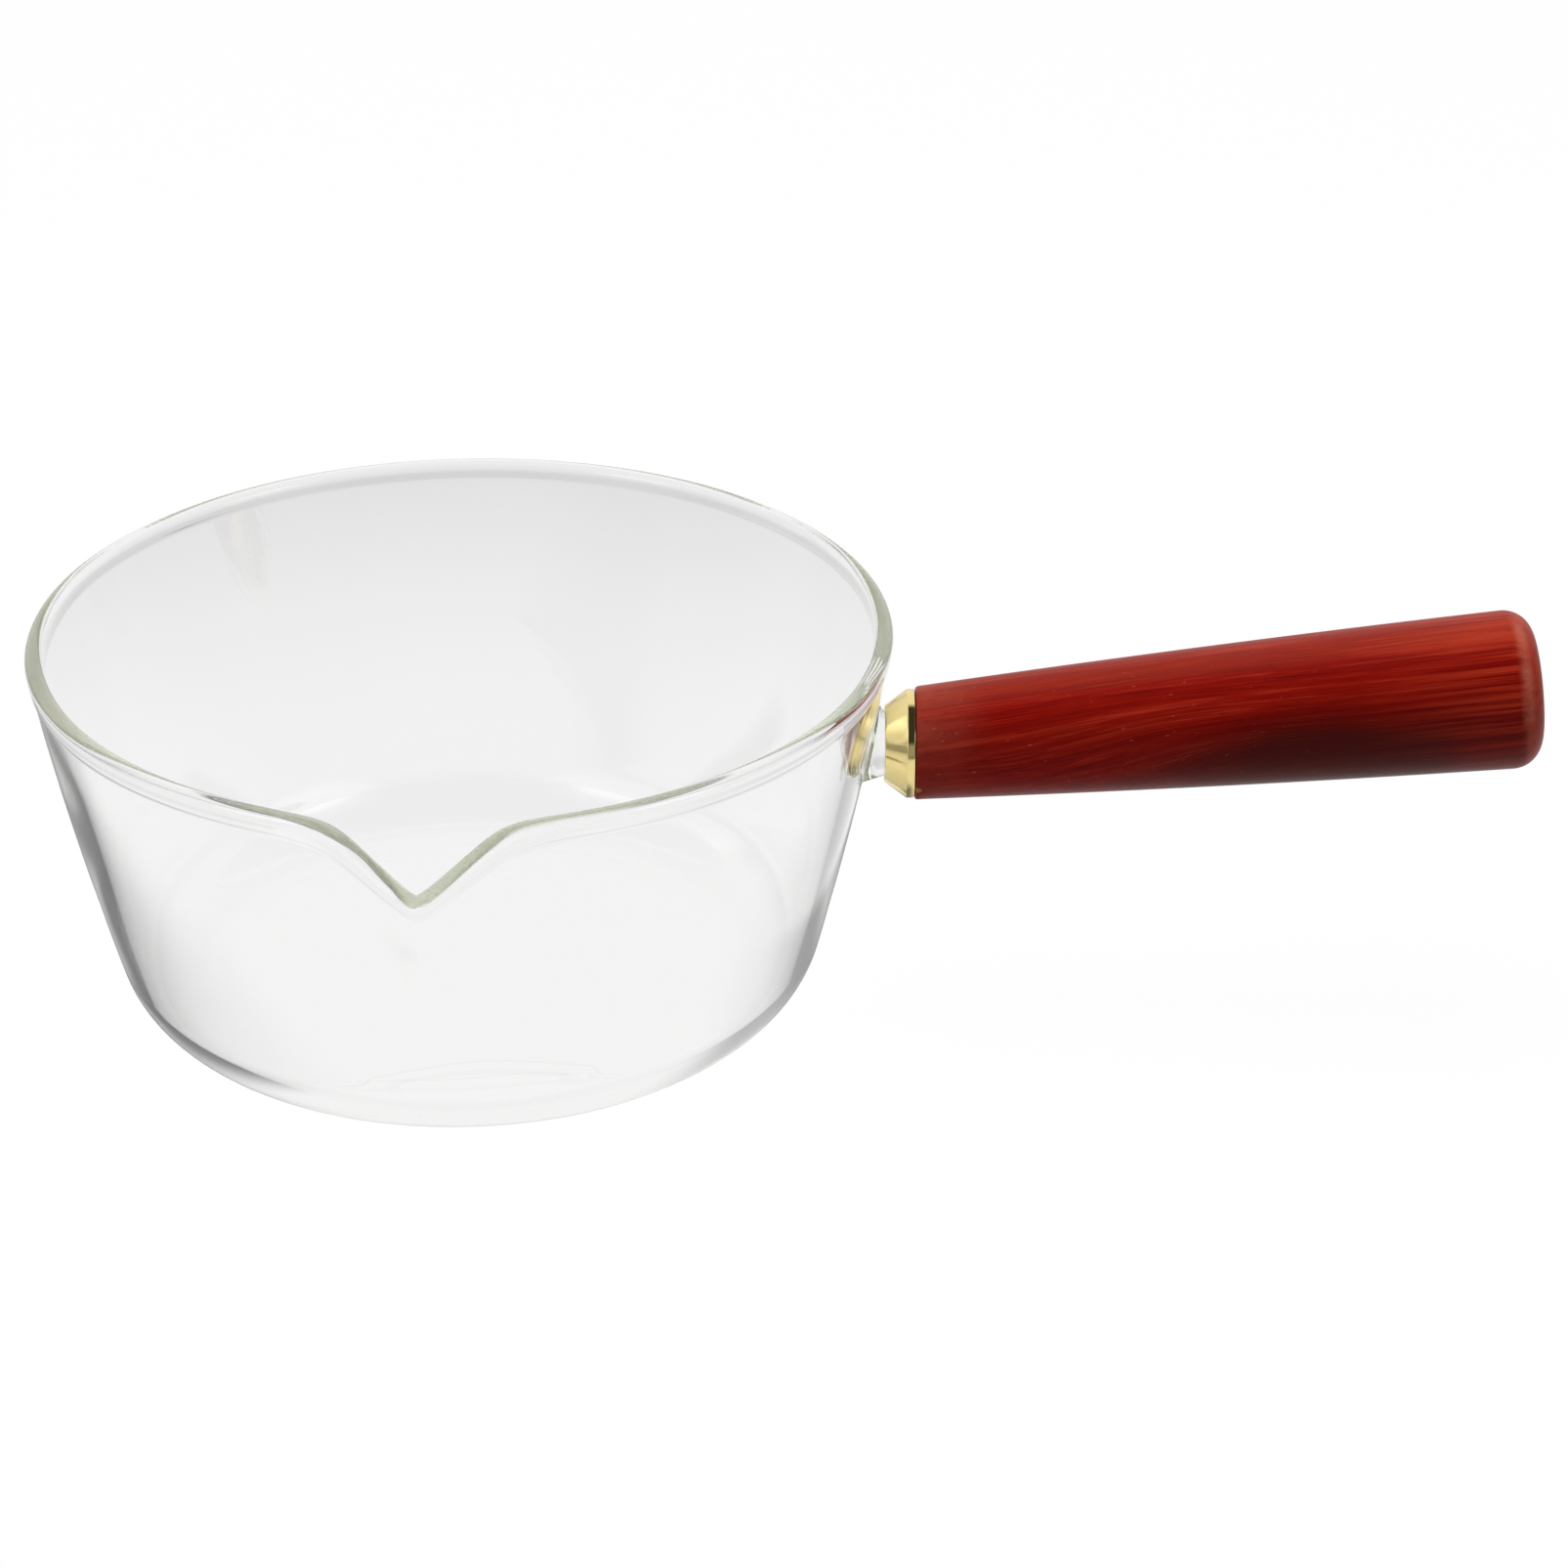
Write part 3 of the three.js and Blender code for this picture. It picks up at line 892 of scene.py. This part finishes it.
def clear_glass():
    material, shader, place = new_finish("clear_glass")
    feed(shader.inputs["Base Color"], (1, 1, 1))
    feed(shader.inputs["Roughness"], 0.0)
    feed(shader.inputs["IOR"], GLASS_BENDING)
    feed(shader.inputs["Transmission Weight"], 1.0)
    shadow_ray = place.node("ShaderNodeLightPath", {}, {}, "Is Shadow Ray")
    open_to_lamps = place.node("ShaderNodeBsdfTransparent", {}, {"Color": LAMP_LIGHT_LET_THROUGH})
    two_shaders = {0: shadow_ray, 1: Wire(shader.outputs[0]), 2: open_to_lamps}
    inside = {"Color": GLASS_TINT, "Density": GLASS_TINT_PER_METRE}
    out = material.node_tree.nodes["Material Output"]
    feed(out.inputs["Surface"], place.node("ShaderNodeMixShader", {}, two_shaders))
    feed(out.inputs["Volume"], place.node("ShaderNodeVolumeAbsorption", {}, inside))
    return material


coat(clear_pan, clear_glass())

# %% [markdown]
# ## Gold plate
# The ferrule is plated and polished on the lathe. Almost all of its look is what it mirrors, so the
# colour stays even, and only two small things change over it: faint rings left by the polishing
# wheel, and a film of handling that dulls the mirror in patches.

# %% Gold plate
GOLD = (0.86, 0.70, 0.31)
POLISHING_RINGS_PER_METRE = 9000
POLISHING_RING_DEPTH = 0.0012 * MM


def polished_gold():
    material, shader, place = new_finish("polished_gold")
    along = dot(place, (1, 0, 0))
    rings = noise(joined(along * POLISHING_RINGS_PER_METRE, 0, 0), 1.0, 2.0)
    film = noise(place, 420.0, 3.0)
    feed(shader.inputs["Base Color"], GOLD)
    feed(shader.inputs["Metallic"], 1.0)
    feed(shader.inputs["Roughness"], 0.06 + 0.12 * ease(film, 0.42, 0.75))
    feed(shader.inputs["Normal"], bumped(rings, POLISHING_RING_DEPTH))
    return material


coat(gold_ferrule, polished_gold())

# %% [markdown]
# ## Red wood
# The grip is turned from a dense red hardwood and lacquered. Its lines follow the tree, not the
# lathe: they run nearly along the grip, at a small slant, so the taper cuts across them and they
# run out at the surface. The finish is built in the order of the eye: the growth zones, the streaks
# within them, the fibre, the pores that the lacquer hasn't filled, and then what use has done to
# it.
# Light is painted in too: the dark heartwood low on the grip is also painted shade on the lower
# side, a paler band along the top is a painted highlight, a greyer red low down is a painted
# reflection, the pale line round the end is wear and a painted highlight, and the duller front is
# wear and a painted sheen. All of it hangs on the place along, above and beside the grip's own
# axis.

# %% Streaks and fibre
GRAIN_SLANT = 0.045


def grip_places(place):
    """Along, above and beside the grip's axis, from the middle of its front, in metres."""
    from_front = away_from(place, grip_start)
    return dot(from_front, grip_along), dot(from_front, grip_up), dot(from_front, grip_side)


def drawn_out(along, across, side, lengthways, crossways):
    """A place for noise with so many spots in a metre of length and of width."""
    return joined(along * lengthways, across * crossways, side * crossways)


def wood_grain(along, up, side):
    """A slow sway, the height above the grain that leans with it, streaks and fibre."""
    sway = noise(drawn_out(along, up, side, 14, 30), 1.0, 1.0)
    bend = 7.5 * MM * ease(along, 12 * MM, 66 * MM) * (1 - ease(up, -1 * MM, 11 * MM))
    lean = up - along * GRAIN_SLANT - bend + (sway - 0.5) * (6 * MM)
    streaks = noise(drawn_out(along, lean, side, 12, 620), 1.0, 3.0, 0.6)
    fibre = noise(drawn_out(along, lean, side, 55, 3000), 1.0, 3.0, 0.65)
    return sway, lean, streaks, fibre


# %% The dark heartwood and painted shade


def heartwood_and_shade_zone(along, up, sway, streaks):
    """The zone of dark heartwood low on the grip, which is also painted shade on the lower side,
    and the line along its edge.
    """
    # painted shade in part: the dark zone lies low on the grip, where less light falls
    hump = 1.8 * MM * ease(along, 55 * MM, 66 * MM) * (1 - ease(along, 72 * MM, 84 * MM))
    zone_edge = -5.8 * MM + 9.2 * MM * ease(along, 16 * MM, 60 * MM) + hump
    below = zone_edge - up + (sway - 0.5) * (4 * MM) + (streaks - 0.5) * (5 * MM)
    heart_and_shade = ease(below, -1.8 * MM, 5.5 * MM) * ease(along, 14 * MM, 64 * MM)
    heart_and_shade = heart_and_shade * (1 - 0.55 * ease(along, 86 * MM, 101 * MM))
    line = ease(below, -2.2 * MM, 0) * (1 - ease(below, 0, 2.2 * MM))
    return heart_and_shade, line * ease(along, 10 * MM, 30 * MM)


# %% Pores and specks


def open_pores(along, lean, side):
    """Short dark dashes where the lacquer hasn't filled a pore."""
    return ease(noise(drawn_out(along, lean, side, 150, 4600), 1.0, 2.0, 0.5), 0.58, 0.70)


def pale_specks(along, lean, side):
    """A few pale specks, most of them near the ferrule."""
    place = drawn_out(along, lean, side, 800, 3400)
    cells = place.node("ShaderNodeTexVoronoi", {}, {"Vector": place, "Scale": 1.0})
    chance = dot(cells.other("Color"), (1, 0, 0))
    paleness = dot(cells.other("Color"), (0, 1, 0))
    near_front = 0.15 + 0.85 * (1 - ease(along, 30 * MM, 80 * MM))
    return (1 - ease(cells, 0.18, 0.40)) * ease(chance, 0.972, 0.976) * near_front * paleness


# %% What use has done to the wood, and painted light
DULL_RED_AND_SHEEN = (0.48, 0.16, 0.10)
PAINTED_TOP_HIGHLIGHT = (0.44, 0.080, 0.038)
PAINTED_UNDERSIDE_REFLECTION = (0.40, 0.17, 0.12)
END_GRAIN = (0.42, 0.055, 0.030)
WORN_EDGE_AND_HIGHLIGHT = (0.56, 0.17, 0.11)
TOP_SLOPE = 0.0376


def before_end(millimetres):
    return GRIP_LENGTH - millimetres * MM


def after_use(colour, along, up, rub):
    """The colour after use with a painted highlight, sheen and reflection, and the mask of the
    rubbed line round the end, which is also a painted highlight.
    """
    # wear and painted sheen: a paler, duller red near the front, twice as strong on the top side
    dull_and_sheen = (1 - ease(along, 0, 16 * MM)) * (0.6 + 0.4 * ease(rub, 0.35, 0.65))
    dull_and_sheen = dull_and_sheen * (0.12 + 0.12 * ease(up, -2 * MM, 8 * MM))
    colour = mixed(dull_and_sheen, colour, DULL_RED_AND_SHEEN)
    # painted highlight: a paler red along the top of the grip, where the overhead light is mirrored
    painted_top_highlight = ease(up - TOP_SLOPE * along, 8.3 * MM, 9.9 * MM)
    colour = mixed(painted_top_highlight * 0.18, colour, PAINTED_TOP_HIGHLIGHT)
    # painted reflection: a greyer, paler red low on the grip, where the white paper is mirrored
    painted_underside_reflection = ease(0 - up, 2 * MM, 8 * MM) * (1 - 0.7 * ease(along, 30 * MM, 100 * MM))
    colour = mixed(painted_underside_reflection * 0.08, colour, PAINTED_UNDERSIDE_REFLECTION)
    end_grain = ease(along, before_end(4.0), before_end(2.8))
    colour = mixed(end_grain * 0.55, colour, END_GRAIN)
    # wear and painted highlight: a pale band on the shoulder of the rounded end, where the right
    # lamp is mirrored
    shoulder = ease(along, before_end(4.8), before_end(3.4))
    shoulder = shoulder * (1 - ease(along, before_end(3.0), before_end(1.4)))
    wear_and_highlight = shoulder * (0.25 + 0.75 * ease(rub, 0.36, 0.66)) * ease(up, -10 * MM, 4 * MM)
    return mixed(wear_and_highlight * 0.55, colour, WORN_EDGE_AND_HIGHLIGHT), wear_and_highlight


# %% Red wood
WOOD_STOPS = [
    (0.34, (0.145, 0.0026, 0.0014)),
    (0.45, (0.226, 0.0042, 0.0019)),
    (0.54, (0.288, 0.0074, 0.0029)),
    (0.67, (0.430, 0.0300, 0.0110)),
]
HEARTWOOD_AND_SHADE_BROWN = (0.050, 0.0044, 0.0030)
PALE_RED = (0.52, 0.046, 0.017)
PORE_RED = (0.12, 0.0032, 0.0014)
SPECK_PINK = (0.48, 0.20, 0.15)
BARE_WOOD = (0.62, 0.30, 0.11)
GRAIN_RELIEF = 0.02 * MM


def red_wood():
    material, shader, place = new_finish("red_wood")
    along, up, side = grip_places(place)
    sway, lean, streaks, fibre = wood_grain(along, up, side)
    heart_and_shade, line = heartwood_and_shade_zone(along, up, sway, streaks)
    tone = 0.5 * streaks + 0.5 * fibre - 0.06 * line
    colour = tone.node("ShaderNodeValToRGB", {"stops": WOOD_STOPS}, {0: tone})
    # dark heartwood, which is also painted shade on the lower side
    colour = mixed(heart_and_shade * 0.86, colour, HEARTWOOD_AND_SHADE_BROWN)
    pale_end = ease(along, 76 * MM, 102 * MM) * ease(up, -7 * MM, 4 * MM)
    colour = mixed(pale_end * ease(streaks, 0.38, 0.62) * 0.55, colour, PALE_RED)
    pores = open_pores(along, lean, side)
    colour = mixed(pores * 0.3, colour, PORE_RED)
    specks = pale_specks(along, lean, side)
    colour = mixed(specks * 0.5, colour, SPECK_PINK)
    rub = noise(drawn_out(along, up, side, 160, 260), 1.0, 4.0, 0.7)
    # wear, with a painted highlight, sheen and reflection
    colour, wear_and_highlight = after_use(colour, along, up, rub)
    from_chip = length_of(away_from(place, chip_place))
    bare = 1 - ease(from_chip + (rub - 0.5) * (1 * MM), 0.45 * MM, 0.85 * MM)
    colour = mixed(bare * 0.85, colour, BARE_WOOD)

    feed(shader.inputs["Base Color"], colour)
    feed(shader.inputs["Roughness"], 0.30 + 0.14 * (1 - fibre) + 0.12 * wear_and_highlight)
    feed(shader.inputs["Specular IOR Level"], 0.06)
    relief = fibre * 0.5 - pores * 0.6 - specks * 0.5
    feed(shader.inputs["Normal"], bumped(relief, GRAIN_RELIEF))
    return material


coat(red_grip, red_wood())

# %% [markdown]
# ## Inside the handle
# Four plain materials, seen only through the stem when the handle is off: turned brass, rolled
# steel, poured resin and moulded silicone. Each gets its base colour and one thing that making it
# leaves behind: turning lines and a dull film on the metals, small clouds in the resin, and the
# matt bloom of a moulded rubber.

# %% Brass, steel, resin and silicone
TURNING_LINES_PER_METRE = 7000
TURNING_LINE_DEPTH = 0.002 * MM
CLOUD_RELIEF = 0.008 * MM


def machined_metal(name, colour, roughness):
    material, shader, place = new_finish(name)
    along = dot(place, (1, 0, 0))
    lines = noise(joined(along * TURNING_LINES_PER_METRE, 0, 0), 1.0, 2.0)
    film = noise(place, 600.0, 3.0)
    feed(shader.inputs["Base Color"], colour)
    feed(shader.inputs["Metallic"], 1.0)
    feed(shader.inputs["Roughness"], roughness + 0.14 * ease(film, 0.40, 0.72))
    feed(shader.inputs["Normal"], bumped(lines, TURNING_LINE_DEPTH))
    return material


def soft_filler(name, colour, clouded, roughness):
    material, shader, place = new_finish(name)
    clouds = noise(place, 900.0, 3.0)
    feed(shader.inputs["Base Color"], mixed(ease(clouds, 0.35, 0.70), colour, clouded))
    feed(shader.inputs["Roughness"], roughness + 0.10 * clouds)
    feed(shader.inputs["Normal"], bumped(clouds, CLOUD_RELIEF))
    return material


brass = machined_metal("insert_brass", (0.72, 0.50, 0.22), 0.24)
steel = machined_metal("stud_steel", (0.55, 0.56, 0.58), 0.20)
resin = soft_filler("cured_resin", (0.70, 0.64, 0.48), (0.78, 0.74, 0.60), 0.30)
silicone = soft_filler("white_silicone", (0.80, 0.80, 0.78), (0.86, 0.86, 0.84), 0.50)
coat(brass_bush, brass)
coat(wood_insert, brass)
coat(threaded_stud, steel)
coat(resin_sleeve, resin)
coat(soft_washer, silicone)

# %% [markdown]
# ## Camera
# The photograph was taken with a long lens from above the rim, so the pan's sides hardly converge.
# A camera could be moved by eye until the outlines meet. Here its place and tilt were worked out
# from the ellipse of the rim, the base and both sides of the wall, so they are only written down.

# %% Camera
LENS = 100
SENSOR_WIDTH = 36
CAMERA_TILT = math.radians(27.27)
CAMERA_PLACE = Vector((0.0560, -0.6840, 0.3915))


def make_camera():
    data = bpy.data.cameras.new("camera")
    data.lens = LENS
    data.sensor_width = SENSOR_WIDTH
    camera = bpy.data.objects.new("camera", data)
    camera.location = CAMERA_PLACE
    camera.rotation_euler = (math.pi / 2 - CAMERA_TILT, 0, 0)
    bpy.context.scene.collection.objects.link(camera)
    bpy.context.scene.camera = camera


make_camera()
print("camera at", tuple(round(part, 3) for part in CAMERA_PLACE))

# %% [markdown]
# ## Studio
# The pan stands on white paper that sweeps up behind it, in a room that is dim overhead and on the
# photographer's side. Glass and metal show whatever surrounds them, so that dim room is what draws
# the dark lines in the rim and on the ferrule. Shade is painted on the paper where only light that
# the glass or the metal has mirrored shows it. There is painted shade on each side of the pan,
# which draws the pan's outline, a painted pool of light that fades away from the pan, and painted
# shade on the photographer's side and far off. To the camera itself, paper and sweep are plain
# white.

# %% Lamps
STUDIO_MIDDLE = Vector((0.05, 0, 0.03))
SIDE_BOX = (0.28, 0.28)


def area_lamp(name, place, size, power):
    """A softbox that points at the middle of the studio and isn't itself seen in the glass."""
    data = bpy.data.lights.new(name, "AREA")
    data.shape = "RECTANGLE"
    data.size, data.size_y = size
    data.energy = power
    lamp = bpy.data.objects.new(name, data)
    lamp.location = place
    lamp.rotation_euler = (STUDIO_MIDDLE - Vector(place)).to_track_quat("-Z", "Y").to_euler()
    lamp.visible_glossy = False
    lamp.visible_transmission = False
    bpy.context.scene.collection.objects.link(lamp)
    print(name, power, "W")
    return lamp


area_lamp("top_softbox", (0.05, 0.15, 0.85), (0.7, 0.5), 6.0)
left_lamp = area_lamp("left_softbox", (-0.58, -0.56, 0.43), SIDE_BOX, 0.8)
right_lamp = area_lamp("right_softbox", (0.77, -0.40, 0.39), SIDE_BOX, 0.8)

# %% Painted shade beside the pan
SIDE_SHADE_SHIFT = 4.5 * MM
SIDE_SHADE_SLANT = 0.68
SIDE_SHADE_BEND = 24 * MM
RIGHT_SIDE_SHADE_BACK = 24 * MM


def ray_kinds(light_path):
    """Masks for the camera's own rays, rays out of glass, and rays off a mirror."""
    camera_ray = light_path.other("Is Camera Ray")
    out_of_glass = light_path.other("Is Transmission Ray")
    off_mirror = light_path.other("Is Glossy Ray") * (1 - out_of_glass)
    return camera_ray, out_of_glass, off_mirror


def painted_side_shade(x, y, times_mirrored):
    """Painted shade on the paper beside the pan, as light mirrored inside the glass shows it, and
    as a bare mirror does.
    """
    aside = unsigned(x + SIDE_SHADE_SHIFT) - SIDE_SHADE_SLANT * lesser(y, SIDE_SHADE_BEND)
    aside = aside + 4 * MM * (1 - ease(y, 10 * MM, 30 * MM))
    on_right = ease(x, 0, 30 * MM)
    front = y - RIGHT_SIDE_SHADE_BACK * on_right
    back = y + 20 * MM * on_right
    # painted shade on the paper beside the pan, seen only in light that the glass has mirrored
    shade = lesser(times_mirrored, 1) * ease(aside, 61.5 * MM, 73.5 * MM)
    shade = shade * (1 - ease(aside, 90 * MM, 130 * MM))
    shade = shade * ease(front, -70 * MM, -52 * MM) * (1 - ease(back, 78 * MM, 100 * MM))
    under_handle = ease(x, 78 * MM, 86 * MM) * (1 - ease(y, 58 * MM, 72 * MM))
    # painted shade on the paper as a bare mirror sees it, which draws the pan's outline
    outline = ease(aside, 50 * MM, 60 * MM) * (1 - ease(aside, 95 * MM, 140 * MM))
    outline = outline * (1 - under_handle) * ease(front, -60 * MM, -30 * MM)
    outline = outline * (1 - ease(y, 90 * MM, 115 * MM))
    return shade, outline


# %% The white paper
PAPER_GREY = (0.42, 0.42, 0.42)
PAPER_DROP = 0.4 * MM
PAPER_SIZE = 4
WHITE_STRENGTH = 1.03
WHITE_SHARE = 0.95


def make_floor():
    bpy.ops.mesh.primitive_plane_add(size=PAPER_SIZE, location=(0, 0, -PAPER_DROP))
    floor = bpy.context.object
    floor.name = "floor"
    material, shader, place = new_finish("pale_floor")
    feed(shader.inputs["Base Color"], PAPER_GREY)
    feed(shader.inputs["Roughness"], 0.8)
    feed(shader.inputs["Specular IOR Level"], 0.0)
    light_path = place.node("ShaderNodeLightPath", {}, {})
    camera_ray, out_of_glass, off_mirror = ray_kinds(light_path)
    x, y = dot(place, (1, 0, 0)), dot(place, (0, 1, 0))
    shade, outline = painted_side_shade(x, y, light_path.other("Glossy Depth"))
    from_middle = length_of(place)
    # painted pool of light: the paper that the glass shows darkens away from the middle, and under
    # the painted side shade
    side_shade_depth = 0.72 - 0.24 * ease(x, -0.03, 0.03)
    in_glass = 0.895 - 0.235 * ease(from_middle, 0.10, 0.34) - side_shade_depth * shade
    # painted shade on the paper far to the left, as the glass shows it
    in_glass = in_glass - 0.4 * ease(0 - x, 0.25, 0.6)
    # painted shade: the paper that mirrors show is dim on the photographer's side and far off
    painted_dim_paper = greater(1 - ease(y, -0.42, -0.24), ease(from_middle, 0.6, 1.2))
    in_mirror = 0.925 - 0.68 * painted_dim_paper - 0.72 * outline
    level = camera_ray + out_of_glass * in_glass + off_mirror * in_mirror
    shown = camera_ray + out_of_glass + off_mirror
    paper = {"Color": mixed(level, (0, 0, 0), (1, 1, 1)), "Strength": WHITE_STRENGTH}
    white = place.node("ShaderNodeEmission", {}, paper)
    two_shaders = {0: shown * WHITE_SHARE, 1: Wire(shader.outputs[0]), 2: white}
    surface = place.node("ShaderNodeMixShader", {}, two_shaders)
    feed(material.node_tree.nodes["Material Output"].inputs["Surface"], surface)
    coat(floor, material)


make_floor()

# %% The room
ROOM_LIGHT = 0.22


def make_world():
    world = bpy.data.worlds.new("studio")
    bpy.context.scene.world = world
    world.use_nodes = True
    tree = world.node_tree
    light_path = Wire(tree.nodes.new("ShaderNodeLightPath").outputs[0])
    camera_ray, out_of_glass, off_mirror = ray_kinds(light_path)
    look = Wire(tree.nodes.new("ShaderNodeTexCoord").outputs["Generated"])
    x, y, z = dot(look, (1, 0, 0)), dot(look, (0, 1, 0)), dot(look, (0, 0, 1))
    sides = 0.24 * ease(unsigned(x), 0.35, 0.75)
    card = 0.32 * ease(0 - y, 0.6, 0.85) * (1 - ease(z, 0.3, 0.5))
    in_mirror = 0.04 + greater(greater(ease(y, 0.28, 0.52), sides), card) * 0.96
    in_glass = 0.68 + 0.3 * ease(z, 0.05, 0.40) * ease(y, -0.10, 0.25)
    in_glass = in_glass - 0.22 * ease(z, 0.08, 0.35) * ease(0 - y, -0.05, 0.30)
    in_glass = in_glass - 0.4 * ease(0 - x, 0.45, 0.75) * (1 - ease(z, 0.25, 0.55))
    left_box = ease(z, 0.06, 0.16) * (1 - ease(z, 0.50, 0.66))
    left_box = left_box * ease(y, -0.42, -0.28) * (1 - ease(y, 0.16, 0.32))
    in_glass = in_glass + 0.7 * (left_box * ease(0 - x, 0.70, 0.80))
    for lamp in (left_lamp, right_lamp):
        towards = dot(look, (lamp.location - STUDIO_MIDDLE).normalized())
        in_mirror = in_mirror + 2.4 * ease(towards, 0.962, 0.998)
        in_glass = in_glass + 0.8 * ease(towards, 0.88, 0.985)
    gathered = ROOM_LIGHT * (1 - camera_ray - out_of_glass - off_mirror)
    strength = gathered + camera_ray + out_of_glass * in_glass + off_mirror * in_mirror
    background = tree.nodes["Background"]
    feed(background.inputs["Color"], (1, 1, 1))
    feed(background.inputs["Strength"], strength)
    print("room", len(tree.nodes), "nodes")


make_world()

# %% [markdown]
# ## Bounces and view
# Light that gets into a glass wall runs on inside it for a long way, and at each turn Cycles counts
# a bounce. With the usual dozen the bead would end in black, so the limits are raised; clear glass
# needs it far more than samples. The Standard view shows each colour as it is written.

# %% Bounces and view
GLASS_BOUNCES = 128
cycles = bpy.context.scene.cycles
cycles.max_bounces = GLASS_BOUNCES
cycles.glossy_bounces = GLASS_BOUNCES
cycles.transmission_bounces = GLASS_BOUNCES
cycles.transparent_max_bounces = 16
bpy.context.scene.view_settings.view_transform = "Standard"
print("bounces", cycles.max_bounces, "view", bpy.context.scene.view_settings.view_transform)
